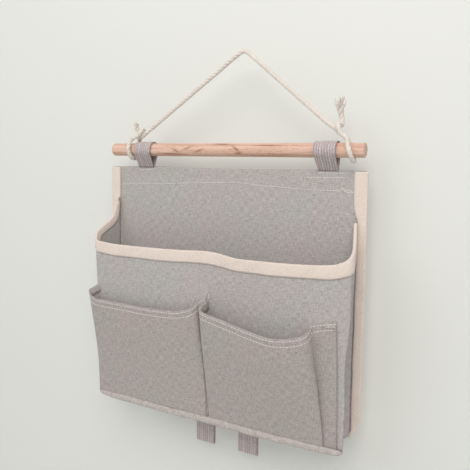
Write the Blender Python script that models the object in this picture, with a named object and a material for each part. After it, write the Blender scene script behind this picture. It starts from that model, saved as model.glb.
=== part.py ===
"""Hanging fabric wall organizer: a deep open pocket with two low front pockets, hung from a wooden rod.

Metres, +Z up. The front faces -Y and the back +Y. The origin is the bend of the hanging cord,
where it is held up. A knotted cord carries the rod, the rod carries two strap loops, and the
loops carry the sewn bag. The rod turns in its loops and hitches, the bag
swings forward about the rod, and two small loops hang from the back bottom seam.
"""

import math

import bmesh
import bpy
from mathutils import Vector

# The rod's axis and the bag's middle, seen from the bend of the cord.
ROD_FROM_HANG_X = -0.0232
ROD_FROM_HANG_Y = 0.0013
ROD_FROM_HANG_Z = -0.0891

# Rod.
ROD_LENGTH = 0.2685
ROD_DIAMETER = 0.013
ROD_SHIFT = 0.0037  # it sits a little to the right of the bag's middle
ROD_CHAMFER = 0.0008
ROD_SIDES = 32

# Cord, in one piece from knot to knot on the real object. Its points run from left to right.
CORD_DIAMETER = 0.0042
CORD_ROUTE = (
    (-0.1143, 0.0013, -0.0732), (-0.1060, 0.0012, -0.0677), (-0.0980, 0.0012, -0.0625),
    (-0.0880, 0.0010, -0.0559), (-0.0780, 0.0009, -0.0493), (-0.0680, 0.0008, -0.0428),
    (-0.0580, 0.0007, -0.0362), (-0.0480, 0.0006, -0.0296), (-0.0380, 0.0005, -0.0231),
    (-0.0290, 0.0004, -0.0172), (-0.0200, 0.0002, -0.0112), (-0.0120, 0.0001, -0.0060),
    (-0.0080, 0.0001, -0.0034), (-0.0050, 0.0000, -0.0015), (-0.0026, 0.0000, -0.0004),
    (0.0000, 0.0000, 0.0000), (0.0026, 0.0000, -0.0007), (0.0048, 0.0000, -0.0022),
    (0.0080, 0.0001, -0.0048), (0.0120, 0.0002, -0.0082), (0.0200, 0.0003, -0.0149),
    (0.0290, 0.0004, -0.0224), (0.0380, 0.0005, -0.0300), (0.0470, 0.0007, -0.0375),
    (0.0560, 0.0008, -0.0451), (0.0650, 0.0009, -0.0526), (0.0740, 0.0011, -0.0602),
    (0.0810, 0.0012, -0.0659), (0.0870, 0.0013, -0.0699),
)
# Each knot goes once round the rod, once over its own standing part, and up into its free end.
LEFT_KNOT_ROUTE = (
    (-0.1147, 0.0013, -0.0734), (-0.1187, 0.0016, -0.0760), (-0.1225, 0.0029, -0.0779),
    (-0.1253, 0.0062, -0.0812), (-0.1269, 0.0093, -0.0848), (-0.1277, 0.0103, -0.0891),
    (-0.1283, 0.0091, -0.0936), (-0.1287, 0.0058, -0.0969), (-0.1289, 0.0013, -0.0981),
    (-0.1289, -0.0032, -0.0969), (-0.1290, -0.0065, -0.0936), (-0.1291, -0.0077, -0.0891),
    (-0.1292, -0.0066, -0.0846), (-0.1286, -0.0049, -0.0801), (-0.1255, -0.0043, -0.0774),
    (-0.1213, -0.0040, -0.0760), (-0.1181, -0.0034, -0.0727), (-0.1169, 0.0005, -0.0687),
    (-0.1185, 0.0051, -0.0693), (-0.1217, 0.0067, -0.0715), (-0.1247, 0.0059, -0.0711),
    (-0.1262, 0.0041, -0.0681), (-0.1265, 0.0028, -0.0631),
)
RIGHT_KNOT_ROUTE = (
    (0.0874, 0.0013, -0.0702), (0.0912, 0.0015, -0.0735), (0.0946, 0.0027, -0.0762),
    (0.0972, 0.0064, -0.0803), (0.0988, 0.0094, -0.0844), (0.1003, 0.0103, -0.0891),
    (0.1018, 0.0091, -0.0936), (0.1034, 0.0058, -0.0969), (0.1044, 0.0013, -0.0981),
    (0.1046, -0.0032, -0.0969), (0.1040, -0.0065, -0.0936), (0.1028, -0.0077, -0.0891),
    (0.1014, -0.0066, -0.0846), (0.1000, -0.0050, -0.0797), (0.0972, -0.0043, -0.0768),
    (0.0938, -0.0039, -0.0745), (0.0918, -0.0033, -0.0703), (0.0910, 0.0005, -0.0668),
    (0.0932, 0.0043, -0.0676), (0.0944, 0.0069, -0.0664), (0.0926, 0.0079, -0.0633),
    (0.0898, 0.0063, -0.0597), (0.0896, 0.0043, -0.0551), (0.0912, 0.0033, -0.0501),
)
CORD_BEVEL_STEPS = 2
STEPS_PER_KNOT_SPAN = 2
NEIGHBOUR_DIAMETERS_SHARE = 2.4  # the cord's own next stretch, which is no neighbour to keep clear of

# Cloth, binding tape, and the gap between pieces that touch.
CLOTH = 0.0011
TAPE = 0.0008
TAPE_WIDTH = 0.0115
SEAM_GAP = 0.0003

# Back panel, which hangs flat. Heights are drops below the rod's axis.
PANEL_BEHIND_ROD = 0.0054
PANEL_TOP_DROP = 0.018
PANEL_BASE_DROP = 0.2600
PANEL_TOP_WIDTH = 0.2765
PANEL_BASE_WIDTH = 0.2825
PANEL_CORNER_RISE = 0.030  # height over which the lower corners round off
PANEL_CORNER_INSET = 0.0070
PANEL_LONG_ROWS = 3
PANEL_CORNER_ROWS = 5
ACROSS_SHARES = (-1, -0.5, 0, 0.5, 1)  # columns of a flat sheet, from its middle to each side

# Strap loops over the rod.
LOOP_WIDTH = 0.020
LOOP_STRAP = 0.0011
LOOP_ROD_CLEARANCE = 0.0004
LEFT_LOOP_INSET = 0.04875  # from the panel's top corner to the loop's middle
RIGHT_LOOP_INSET = 0.03425
LEFT_LOOP_LEAN = 0.0040  # its foot is sewn in this much further out
LOOP_ARC_STEPS = 20

# Deep pocket: front sheet, gathered side walls and bottom.
BAG_DEPTH = 0.0340
FRONT_SHIFT = 0.0010
FRONT_MOUTH_WIDTH = 0.2770
FRONT_BASE_WIDTH = 0.2700
FRONT_BASE_DROP = 0.2572
FRONT_FALL_SHARES = (0.0, 0.08, 0.5, 1.0)  # rows of the front sheet, from its mouth down
MOUTH_DROP = 0.0965
MOUTH_WAVE = 0.0040
# Along the front mouth from left to right: share of the width, and how far the edge sags.
MOUTH_EDGE_SHARES = (
    (0.0, -0.9), (0.015, -0.2), (0.13, 0.3), (0.25, 0.28), (0.38, 0.1), (0.49, -0.25), (0.53, -0.1),
    (0.62, 0.8), (0.73, 0.78), (0.84, 0.55), (0.935, 0.0), (0.975, -0.8), (1.0, -1.9),
)
LEFT_SWOOP_DROP = 0.0500
RIGHT_SWOOP_DROP = 0.0580
# From the back panel forward: share of the depth, and share of the fall to the front corner.
LEFT_SWOOP_SHARES = ((0.08, 0.10), (0.14, 0.29), (0.22, 0.45), (0.40, 0.60), (0.65, 0.72), (0.88, 0.84))
RIGHT_SWOOP_SHARES = ((0.08, 0.14), (0.14, 0.33), (0.24, 0.54), (0.42, 0.70), (0.65, 0.83), (0.88, 0.93))
GUSSET_TUCK = 0.0130  # how far the folded side wall draws in, lower down
GUSSET_BASE_DROP = 0.2581
# Down a side wall: share of the height below the mouth, and share of the tuck.
TUCK_SHARES = ((0.0, 0.0), (0.12, 0.05), (0.28, 0.45), (0.48, 1.0), (0.75, 0.9), (1.0, 0.45))
# Across a side wall from back to front: share of the depth, and share of the tuck.
PLEAT_SHARES = ((0.0, 0.0), (0.12, 0.35), (0.27, 0.8), (0.45, 1.0), (0.65, 0.7), (0.85, 0.2), (1.0, 0.0))
BOTTOM_DROP = 0.2590
BOTTOM_SAG = 0.0006
BOTTOM_ROW_SHARES = (0.0, 0.5, 1.0)
FACING_SHARE = 0.05  # of the depth, over which a side wall's direction is read
SEAM_ROLL_HEIGHT = 0.0060
SEAM_ROLL_THICKNESS = 0.0030
SEAM_ROLL_FORWARD = 0.0010
SEAM_ROLL_SIDES = 10
# From an end inwards: share of the width, and share of the roll's height.
SEAM_ROLL_END_SHARES = ((0.0, 0.45), (0.03, 0.72), (0.08, 0.9), (0.16, 1.0), (0.33, 1.0), (0.5, 1.0))

# Two low pockets sewn to the front sheet. Their mouths stand forward and close up to the bottom.
POCKET_SEAM_X = 0.0
POCKET_BASE_DROP = 0.2569
LEFT_POCKET_REACH = 0.1380  # from the middle seam to the left edge
LEFT_POCKET_DEPTH = 0.0088
LEFT_POCKET_SAG = 0.0172
LEFT_POCKET_DROP = 0.1389  # of its hem at the middle seam
# From left to right: share of the reach at the mouth and at the base, of the depth, of the sag.
LEFT_POCKET_SHARES = (
    (1.000, 0.980, 0.00, 0.36), (1.004, 0.978, 0.52, 0.48), (0.992, 0.972, 0.97, 0.68),
    (0.938, 0.928, 1.00, 0.88), (0.812, 0.800, 0.98, 0.93), (0.676, 0.660, 0.95, 0.95),
    (0.502, 0.493, 0.93, 0.99), (0.335, 0.326, 0.91, 0.97), (0.212, 0.200, 0.89, 0.89),
    (0.127, 0.100, 0.86, 0.70), (0.078, 0.040, 0.80, 0.51), (0.062, 0.028, 0.52, 0.37),
    (0.059, 0.020, 0.20, 0.25), (0.039, 0.012, 0.02, 0.10), (0.005, 0.005, 0.00, 0.00),
)
RIGHT_POCKET_REACH = 0.1310  # from the middle seam to the stitched right edge
RIGHT_POCKET_DEPTH = 0.0180
RIGHT_POCKET_SAG = 0.0204
RIGHT_POCKET_DROP = 0.1412
RIGHT_POCKET_SHARES = (
    (0.005, 0.005, 0.00, 0.00), (0.008, 0.007, 0.22, 0.08), (0.014, 0.009, 0.50, 0.17),
    (0.021, 0.012, 0.75, 0.25), (0.041, 0.020, 0.96, 0.31), (0.084, 0.070, 1.00, 0.38),
    (0.206, 0.206, 1.00, 0.55), (0.328, 0.350, 1.00, 0.73), (0.447, 0.480, 1.00, 0.89),
    (0.555, 0.603, 0.98, 1.00), (0.659, 0.725, 0.91, 0.95), (0.725, 0.810, 0.83, 0.85),
    (0.775, 0.870, 0.70, 0.75), (0.798, 0.894, 0.48, 0.61), (0.805, 0.899, 0.26, 0.46),
    (0.820, 0.905, 0.07, 0.35), (0.867, 0.927, 0.00, 0.26), (0.920, 0.962, 0.00, 0.18),
    (0.971, 0.999, 0.00, 0.10),
)
POCKET_ROW_SHARES = (0.0, 0.06, 0.22, 0.42, 0.64, 0.84, 1.0)
POCKET_NARROWING_POWER_SHARE = 1.3  # how much sooner than evenly the sides settle to the base's width

# Two small loops at the back bottom seam. Each has a round head that turns just below the panel's edge.
SMALL_LOOP_WIDTH = 0.021
SMALL_LOOP_LENGTH = 0.0445
SMALL_LOOP_THICKNESS = 0.0038
SMALL_LOOP_BELLY_SHARE = 2 / 3  # of the way down, where the strap reaches its full thickness
SMALL_LOOP_TURN_STEPS = 6
LEFT_SMALL_LOOP_X = -0.0210
RIGHT_SMALL_LOOP_X = 0.0287

WOOD = (0.66, 0.44, 0.32)
CORD_COTTON = (0.78, 0.70, 0.60)
BINDING_COTTON = (0.79, 0.70, 0.61)
GREY_LINEN = (0.40, 0.38, 0.36)


def clear_scene():
    for obj in list(bpy.data.objects):
        bpy.data.objects.remove(obj, do_unlink=True)


def mix(low, high, share):
    return low + (high - low) * share


def along(shares, place):
    """The value at a place on a hand-drawn profile of (place, value) pairs."""
    for (start, low), (end, high) in zip(shares, shares[1:]):
        if place <= end:
            return mix(low, high, max(place - start, 0.0) / (end - start))
    return shares[-1][1]


def dress(obj, colour, roughness):
    """Gives an object its own plain material."""
    finish = bpy.data.materials.new(obj.name + "_finish")
    finish.use_nodes = True
    shader = finish.node_tree.nodes["Principled BSDF"]
    shader.inputs["Base Color"].default_value = (*colour, 1.0)
    shader.inputs["Roughness"].default_value = roughness
    shader.inputs["Metallic"].default_value = 0.0
    obj.data.materials.append(finish)


def pivot(name, place, parent=None):
    empty = bpy.data.objects.new(name, None)
    empty.location = place
    empty.parent = parent
    bpy.context.collection.objects.link(empty)
    return empty


def mesh_object(name, vertices, faces, parent):
    mesh = bpy.data.meshes.new(name)
    mesh.from_pydata([tuple(vertex) for vertex in vertices], [], faces)
    mesh.shade_smooth()
    mesh.set_sharp_from_angle(angle=math.radians(40))
    obj = bpy.data.objects.new(name, mesh)
    obj.parent = parent
    bpy.context.collection.objects.link(obj)
    return obj


def sheet(name, rows, thickness, parent, colour=GREY_LINEN):
    """A sewn sheet: rows of points on its middle surface, thickened to both sides."""
    across = len(rows[0])
    faces = [
        (r * across + c, r * across + c + 1, (r + 1) * across + c + 1, (r + 1) * across + c)
        for r in range(len(rows) - 1)
        for c in range(across - 1)
    ]
    obj = mesh_object(name, [point for row in rows for point in row], faces, parent)
    body = obj.modifiers.new("Thickness", "SOLIDIFY")
    body.thickness = thickness
    body.offset = 0.0
    body.use_even_offset = True
    dress(obj, colour, 0.9)
    return obj


def cord(name, route, parent):
    curve = bpy.data.curves.new(name, "CURVE")
    curve.dimensions = "3D"
    curve.bevel_depth = CORD_DIAMETER / 2
    curve.bevel_resolution = CORD_BEVEL_STEPS
    curve.use_fill_caps = True
    line = curve.splines.new("POLY")
    line.points.add(len(route) - 1)
    for point, place in zip(line.points, route):
        point.co = (*place, 1.0)
    obj = bpy.data.objects.new(name, curve)
    obj.parent = parent
    bpy.context.collection.objects.link(obj)
    dress(obj, CORD_COTTON, 0.85)
    return obj


def smooth_route(route, steps):
    """Points on a Catmull-Rom curve through the route's points, several to a span."""
    points = [Vector(place) for place in route]
    points = [2 * points[0] - points[1], *points, 2 * points[-1] - points[-2]]
    smooth = []
    for before, start, end, after in zip(points, points[1:], points[2:], points[3:]):
        for step in range(steps):
            t = step / steps
            smooth.append(
                start
                + (end - before) * (t / 2)
                + (2 * before - 5 * start + 4 * end - after) * (t * t / 2)
                + (3 * start - before - 3 * end + after) * (t * t * t / 2)
            )
    return [*smooth, points[-2]]


def least_gap(route):
    """The least distance between the cord's surfaces where it passes itself."""
    travelled = [0.0]
    for start, end in zip(route, route[1:]):
        travelled.append(travelled[-1] + (end - start).length)
    apart = [
        (route[i] - route[j]).length
        for i in range(len(route))
        for j in range(i)
        if travelled[i] - travelled[j] > NEIGHBOUR_DIAMETERS_SHARE * CORD_DIAMETER
    ]
    return min(apart) - CORD_DIAMETER


def make_cords(root):
    cord("hanging_cord", CORD_ROUTE, root)
    for name, route in (("left_knot", LEFT_KNOT_ROUTE), ("right_knot", RIGHT_KNOT_ROUTE)):
        points = smooth_route(route, STEPS_PER_KNOT_SPAN)
        print(f"{name}: least gap to itself {least_gap(points) * 1000:.2f} mm")
        cord(name, points, root)


def make_rod(axis):
    form = bmesh.new()
    bmesh.ops.create_cone(
        form,
        cap_ends=True,
        segments=ROD_SIDES,
        radius1=ROD_DIAMETER / 2,
        radius2=ROD_DIAMETER / 2,
        depth=ROD_LENGTH,
    )
    mesh = bpy.data.meshes.new("dowel")
    form.to_mesh(mesh)
    form.free()
    mesh.shade_smooth()
    mesh.set_sharp_from_angle(angle=math.radians(40))
    obj = bpy.data.objects.new("dowel", mesh)
    obj.parent = axis
    obj.location.x = ROD_SHIFT
    obj.rotation_euler.y = math.radians(90)
    bpy.context.collection.objects.link(obj)
    edge = obj.modifiers.new("Chamfer", "BEVEL")
    edge.width = ROD_CHAMFER
    edge.limit_method = "ANGLE"
    edge.angle_limit = math.radians(60)
    dress(obj, WOOD, 0.55)


def outward_facing(obj):
    """Turns every face of a closed mesh outwards."""
    form = bmesh.new()
    form.from_mesh(obj.data)
    bmesh.ops.recalc_face_normals(form, faces=form.faces)
    form.to_mesh(obj.data)
    form.free()


def sweep(name, sections, parent, colour):
    """A solid through closed sections of alike points, with its two ends capped."""
    sides = len(sections[0])
    faces = [
        (a * sides + c, (a + 1) * sides + c, (a + 1) * sides + (c + 1) % sides, a * sides + (c + 1) % sides)
        for a in range(len(sections) - 1)
        for c in range(sides)
    ]
    last = (len(sections) - 1) * sides
    faces += [tuple(range(sides)), tuple(last + c for c in reversed(range(sides)))]
    obj = mesh_object(name, [point for section in sections for point in section], faces, parent)
    outward_facing(obj)
    dress(obj, colour, 0.9)


def strap_ring(name, outer, inner, middle_x, width, parent, foot_shift=0.0):
    """A closed strap loop: matching outer and inner outlines in Y and Z, as wide as the strap.

    Below its axis the loop slants sideways, by the foot's shift at the lowest point.
    """
    count = len(outer)
    lowest = min(z for _, z in outer)
    left, right = middle_x - width / 2, middle_x + width / 2
    vertices = [
        Vector((x + foot_shift * max(z / lowest, 0.0), y, z))
        for x in (left, right)
        for ring in (outer, inner)
        for y, z in ring
    ]
    faces = []
    for i in range(count):
        j = (i + 1) % count
        outer_left, inner_left = (i, j), (count + i, count + j)
        outer_right, inner_right = (2 * count + i, 2 * count + j), (3 * count + i, 3 * count + j)
        faces += [
            (outer_left[0], outer_left[1], inner_left[1], inner_left[0]),
            (outer_right[1], outer_right[0], inner_right[0], inner_right[1]),
            (outer_left[1], outer_left[0], outer_right[0], outer_right[1]),
            (inner_left[0], inner_left[1], inner_right[1], inner_right[0]),
        ]
    obj = mesh_object(name, vertices, faces, parent)
    outward_facing(obj)
    dress(obj, GREY_LINEN, 0.9)


def round_the_rod(radius, tip, half_tip):
    """Outline of a loop: round the rod at this radius, and down to the two sides of its tip."""
    reach = math.hypot(*tip)
    towards_tip = math.atan2(tip[0], -tip[1])  # measured from straight down, towards the back
    open_angle = math.acos(radius / reach)
    start, end = towards_tip + open_angle, towards_tip + 2 * math.pi - open_angle
    arc = [mix(start, end, step / LOOP_ARC_STEPS) for step in range(LOOP_ARC_STEPS + 1)]
    round_part = [(radius * math.sin(angle), -radius * math.cos(angle)) for angle in arc]
    return [(tip[0] + half_tip, tip[1]), *round_part, (tip[0] - half_tip, tip[1])]


def make_top_loops(bag):
    inner_radius = ROD_DIAMETER / 2 + LOOP_ROD_CLEARANCE
    half_tip = LOOP_STRAP + SEAM_GAP / 2
    foot = (PANEL_BEHIND_ROD, -(PANEL_TOP_DROP - SEAM_GAP))
    crotch = (PANEL_BEHIND_ROD, foot[1] + 2 * LOOP_STRAP)
    outer = round_the_rod(inner_radius + LOOP_STRAP, foot, half_tip)
    inner = round_the_rod(inner_radius, crotch, SEAM_GAP / 2)
    for name, side, inset, lean in (
        ("top_loop_left", -1, LEFT_LOOP_INSET, LEFT_LOOP_LEAN),
        ("top_loop_right", 1, RIGHT_LOOP_INSET, 0.0),
    ):
        x = side * (PANEL_TOP_WIDTH / 2 - inset)
        strap_ring(name, outer, inner, x, LOOP_WIDTH, bag, side * lean)


def panel_half(drop):
    """Half the back panel's width at a drop below the rod, with its rounded lower corners."""
    share = (drop - PANEL_TOP_DROP) / (PANEL_BASE_DROP - PANEL_TOP_DROP)
    corner = max(drop - (PANEL_BASE_DROP - PANEL_CORNER_RISE), 0.0) / PANEL_CORNER_RISE
    return mix(PANEL_TOP_WIDTH, PANEL_BASE_WIDTH, share) / 2 - PANEL_CORNER_INSET * corner**2


def panel_drops():
    """Rows down the panel's sides: long spans, then short ones round the corners."""
    corner_start = PANEL_BASE_DROP - PANEL_CORNER_RISE
    long_rows = [
        mix(PANEL_TOP_DROP, corner_start, step / PANEL_LONG_ROWS) for step in range(PANEL_LONG_ROWS)
    ]
    corner_rows = [
        corner_start + PANEL_CORNER_RISE * step / PANEL_CORNER_ROWS for step in range(PANEL_CORNER_ROWS + 1)
    ]
    return [*long_rows, *corner_rows]


def make_back_panel(bag):
    rows = [
        [Vector((side * panel_half(drop), PANEL_BEHIND_ROD, -drop)) for side in ACROSS_SHARES]
        for drop in panel_drops()
    ]
    sheet("back_panel", rows, CLOTH, bag)


def tape_section(leg):
    """Closed section of a tape folded over a cloth edge: (distance in from the edge, offset to the side)."""
    inside = CLOTH / 2 + SEAM_GAP
    outside = inside + TAPE
    fold = SEAM_GAP + TAPE
    return [
        (leg, -outside), (0.0, -outside), (-fold, -inside / 2), (-fold, inside / 2), (0.0, outside),
        (leg, outside), (leg, inside), (-SEAM_GAP, inside), (-SEAM_GAP, -inside), (leg, -inside),
    ]


def full_leg():
    return TAPE_WIDTH - SEAM_GAP - TAPE


def make_edge_bindings(bag):
    for name, side in (("left_edge_binding", -1), ("right_edge_binding", 1)):
        sections = [
            [
                Vector((side * (panel_half(drop) - inward), PANEL_BEHIND_ROD + offset, -drop))
                for inward, offset in tape_section(full_leg())
            ]
            for drop in panel_drops()
        ]
        sweep(name, sections, bag, BINDING_COTTON)


def front_y():
    return PANEL_BEHIND_ROD - BAG_DEPTH


def front_half(drop):
    share = (drop - MOUTH_DROP) / (FRONT_BASE_DROP - MOUTH_DROP)
    return mix(FRONT_MOUTH_WIDTH, FRONT_BASE_WIDTH, min(max(share, 0.0), 1.0)) / 2


def side_wall(side, depth_share, drop):
    """A point on a side wall's middle surface; it flares forward and tucks in lower down."""
    back_x = panel_half(drop) - full_leg() - 2 * SEAM_GAP - CLOTH / 2
    front_x = front_half(drop) + side * FRONT_SHIFT - CLOTH / 2
    height_share = (drop - MOUTH_DROP) / (GUSSET_BASE_DROP - MOUTH_DROP)
    tuck = GUSSET_TUCK * along(TUCK_SHARES, max(height_share, 0.0)) * along(PLEAT_SHARES, depth_share)
    back_y = PANEL_BEHIND_ROD - CLOTH / 2 - 2 * SEAM_GAP
    corner_y = front_y() + CLOTH / 2 + 2 * SEAM_GAP
    x = mix(back_x, front_x, depth_share) - tuck
    return Vector((side * x, mix(back_y, corner_y, depth_share), -drop))


def mouth_corner_drop(side):
    return MOUTH_DROP + MOUTH_WAVE * along(MOUTH_EDGE_SHARES, 0.0 if side < 0 else 1.0)


def swoop(side):
    """The top edge of a side wall, from the back panel to the front corner, as (depth, drop)."""
    start, shares = (
        (LEFT_SWOOP_DROP, LEFT_SWOOP_SHARES) if side < 0 else (RIGHT_SWOOP_DROP, RIGHT_SWOOP_SHARES)
    )
    corner = mouth_corner_drop(side)
    return [(0.0, start), *((depth, mix(start, corner, fall)) for depth, fall in shares), (1.0, corner)]


def gusset_rows(side):
    columns = []
    for depth, top in swoop(side):
        below_tape = top + TAPE_WIDTH + CLOTH
        below_mouth = [
            max(mix(MOUTH_DROP, GUSSET_BASE_DROP, share), below_tape) for share, _ in TUCK_SHARES[1:]
        ]
        columns.append([side_wall(side, depth, drop) for drop in (top, top + TAPE_WIDTH, *below_mouth)])
    return [list(row) for row in zip(*columns)]


def make_deep_pocket(bag):
    sheet("left_gusset", gusset_rows(-1), CLOTH, bag)
    sheet("right_gusset", gusset_rows(1), CLOTH, bag)

    rows = []
    for fall in FRONT_FALL_SHARES:
        row = []
        for across, sag in MOUTH_EDGE_SHARES:
            drop = mix(MOUTH_DROP + MOUTH_WAVE * sag + SEAM_GAP, FRONT_BASE_DROP, fall)
            half = front_half(drop) - SEAM_GAP
            row.append(Vector((FRONT_SHIFT + mix(-half, half, across), front_y(), -drop)))
        rows.append(row)
    sheet("front_panel", rows, CLOTH, bag)

    roll_y = front_y() - SEAM_ROLL_FORWARD
    roll_back = roll_y + SEAM_ROLL_THICKNESS / 2 + SEAM_GAP
    panel_front = PANEL_BEHIND_ROD - CLOTH / 2 - SEAM_GAP
    half = FRONT_BASE_WIDTH / 2
    back_half = panel_half(PANEL_BASE_DROP) - full_leg() - SEAM_GAP - CLOTH
    rows = []
    for share in BOTTOM_ROW_SHARES:
        y = mix(roll_back, panel_front, share)
        reach = mix(half, back_half, share)
        drop = BOTTOM_DROP + BOTTOM_SAG * math.sin(math.pi * share)
        shift = FRONT_SHIFT * (1 - share)
        rows.append([Vector((shift + side * reach, y, -drop)) for side in ACROSS_SHARES])
    sheet("bottom_panel", rows, CLOTH, bag)

    turns = [2 * math.pi * corner / SEAM_ROLL_SIDES for corner in range(SEAM_ROLL_SIDES)]
    right_end = [(1 - share, height) for share, height in reversed(SEAM_ROLL_END_SHARES[:-1])]
    sections = []
    for across, height_share in [*SEAM_ROLL_END_SHARES, *right_end]:
        x = FRONT_SHIFT + mix(-half, half, across)
        half_height = SEAM_ROLL_HEIGHT * height_share / 2
        middle = -(FRONT_BASE_DROP + SEAM_GAP + half_height)
        sections.append([
            Vector((
                x,
                roll_y + SEAM_ROLL_THICKNESS / 2 * math.sin(turn),
                middle + half_height * math.cos(turn),
            ))
            for turn in turns
        ])
    sweep("bottom_seam_binding", sections, bag, GREY_LINEN)


def mouth_path():
    """The deep pocket's top edge from the left of the back panel, round the front, to the right.

    Each entry is (point, outward normal, how the tape's legs leave the edge, length of the legs).
    """
    path = []
    for side in (-1, 1):
        edge = swoop(side)[1:]
        part = []
        for index, (depth, drop) in enumerate(edge):
            before = edge[max(index - 1, 0)]
            after = edge[min(index + 1, len(edge) - 1)]
            run = (after[0] - before[0]) * BAG_DEPTH
            fall = after[1] - before[1]
            length = math.hypot(run, fall)
            down, back = run / length, fall / length
            spare = depth * BAG_DEPTH - 3 * SEAM_GAP - TAPE
            leg = full_leg() if back * full_leg() < spare else spare / back
            point = side_wall(side, depth, drop)
            behind = max(depth - FACING_SHARE, 0.0)
            near = side_wall(side, depth + FACING_SHARE, drop) - side_wall(side, behind, drop)
            outward = Vector((-near.y, near.x, 0.0)).normalized() * side
            if outward.x * side < 0:
                outward.negate()
            if depth == 1.0:
                down, back = 1.0, 0.0
            hem = side_wall(side, depth - back * leg / BAG_DEPTH, drop + down * leg)
            part.append((point, outward, (hem - point) / leg, leg))
        path.append(part)
    left, right = path
    front = []
    for across, sag in MOUTH_EDGE_SHARES[1:-1]:
        drop = MOUTH_DROP + MOUTH_WAVE * sag
        half = front_half(drop)
        point = Vector((FRONT_SHIFT + mix(-half, half, across), front_y(), -drop))
        front.append((point, Vector((0, -1, 0)), Vector((0, 0, -1)), full_leg()))
    corners = []
    for side in (-1, 1):
        top = mouth_corner_drop(side)
        edge, hem = (
            Vector((FRONT_SHIFT + side * (front_half(drop) - CLOTH / 2), front_y(), -drop))
            for drop in (top, top + full_leg())
        )
        outward = Vector((side, -1, 0))  # mitred: it reaches both walls' offsets
        corners.append((edge, outward, (hem - edge) / full_leg(), full_leg()))
    return [*left, corners[0], *front, corners[1], *reversed(right)]


def make_mouth_binding(bag):
    sections = [
        [point + away * inward + outward * offset for inward, offset in tape_section(leg)]
        for point, outward, away, leg in mouth_path()
    ]
    sweep("mouth_binding", sections, bag, BINDING_COTTON)


def pocket_rows(side, reach, depth, drop, sag, shares):
    flat_y = front_y() - CLOTH - SEAM_GAP
    rows = []
    for fall in POCKET_ROW_SHARES:
        row = []
        for mouth_share, base_share, depth_share, sag_share in shares:
            narrowing = (1 - fall) ** POCKET_NARROWING_POWER_SHARE
            x = POCKET_SEAM_X + side * reach * mix(base_share, mouth_share, narrowing)
            y = flat_y - depth * depth_share * (1 - fall)
            row.append(Vector((x, y, -mix(drop + sag * sag_share, POCKET_BASE_DROP, fall))))
        rows.append(row)
    return rows


def make_front_pockets(bag):
    left = pocket_rows(
        -1, LEFT_POCKET_REACH, LEFT_POCKET_DEPTH, LEFT_POCKET_DROP, LEFT_POCKET_SAG, LEFT_POCKET_SHARES
    )
    sheet("left_pocket", left, CLOTH, bag)
    right = pocket_rows(
        1, RIGHT_POCKET_REACH, RIGHT_POCKET_DEPTH, RIGHT_POCKET_DROP, RIGHT_POCKET_SAG, RIGHT_POCKET_SHARES
    )
    sheet("right_pocket", right, CLOTH, bag)


def make_bottom_loops(bag):
    head = LOOP_STRAP + SEAM_GAP / 2
    half = SMALL_LOOP_THICKNESS / 2
    hole_half = half - LOOP_STRAP
    foot = -(SMALL_LOOP_LENGTH - half)
    belly = foot * SMALL_LOOP_BELLY_SHARE
    turns = [math.pi * step / SMALL_LOOP_TURN_STEPS for step in range(SMALL_LOOP_TURN_STEPS + 1)]
    outer = [(head * math.cos(turn), head * math.sin(turn)) for turn in turns]
    inner = [(SEAM_GAP / 2 * math.cos(turn), -head * (1 - math.sin(turn) / 2)) for turn in turns]
    outer += [(-half, belly), *((-half * math.cos(turn), foot - half * math.sin(turn)) for turn in turns)]
    inner += [(-hole_half, belly)]
    inner += [(-hole_half * math.cos(turn), foot - hole_half * math.sin(turn)) for turn in turns]
    outer += [(half, belly)]
    inner += [(hole_half, belly)]
    for name, x in (("bottom_loop_left", LEFT_SMALL_LOOP_X), ("bottom_loop_right", RIGHT_SMALL_LOOP_X)):
        hinge = (x, PANEL_BEHIND_ROD, -(PANEL_BASE_DROP + SEAM_GAP + head))
        strap_ring(name, outer, inner, 0.0, SMALL_LOOP_WIDTH, pivot(name + "_pivot", hinge, bag))


clear_scene()
hang_point = pivot("hang_point", (0.0, 0.0, 0.0))
rod_place = Vector((ROD_FROM_HANG_X, ROD_FROM_HANG_Y, ROD_FROM_HANG_Z))
rod_pivot = pivot("rod_pivot", rod_place, hang_point)
bag_pivot = pivot("bag_pivot", rod_place, hang_point)
make_cords(hang_point)
make_rod(rod_pivot)
make_top_loops(bag_pivot)
make_back_panel(bag_pivot)
make_edge_bindings(bag_pivot)
make_deep_pocket(bag_pivot)
make_mouth_binding(bag_pivot)
make_front_pockets(bag_pivot)
make_bottom_loops(bag_pivot)
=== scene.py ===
import math

import bpy
import numpy as np
from mathutils import Matrix, Vector

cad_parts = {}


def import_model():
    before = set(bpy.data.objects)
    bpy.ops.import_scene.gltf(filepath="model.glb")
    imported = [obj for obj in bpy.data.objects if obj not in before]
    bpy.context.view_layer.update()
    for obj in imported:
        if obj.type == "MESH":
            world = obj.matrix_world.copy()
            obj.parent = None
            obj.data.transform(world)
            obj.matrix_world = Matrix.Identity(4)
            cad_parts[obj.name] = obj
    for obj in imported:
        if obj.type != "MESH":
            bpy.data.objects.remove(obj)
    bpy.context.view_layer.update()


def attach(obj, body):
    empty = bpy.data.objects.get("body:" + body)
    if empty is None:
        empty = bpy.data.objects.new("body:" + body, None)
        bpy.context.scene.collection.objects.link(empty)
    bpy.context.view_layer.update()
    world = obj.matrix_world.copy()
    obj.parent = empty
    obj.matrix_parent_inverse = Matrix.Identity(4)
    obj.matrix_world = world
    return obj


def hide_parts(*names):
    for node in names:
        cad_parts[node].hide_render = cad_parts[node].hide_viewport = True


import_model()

# Camera. It stands to the right of the organizer, level with its rod, and looks a little down at it. The
# lens is a normal one, without shift.
camera = bpy.data.objects.new("camera", bpy.data.cameras.new("camera"))
bpy.context.scene.collection.objects.link(camera)
camera.data.lens = 42.3
camera.data.sensor_width = 36
camera.data.clip_start = 0.01
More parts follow.
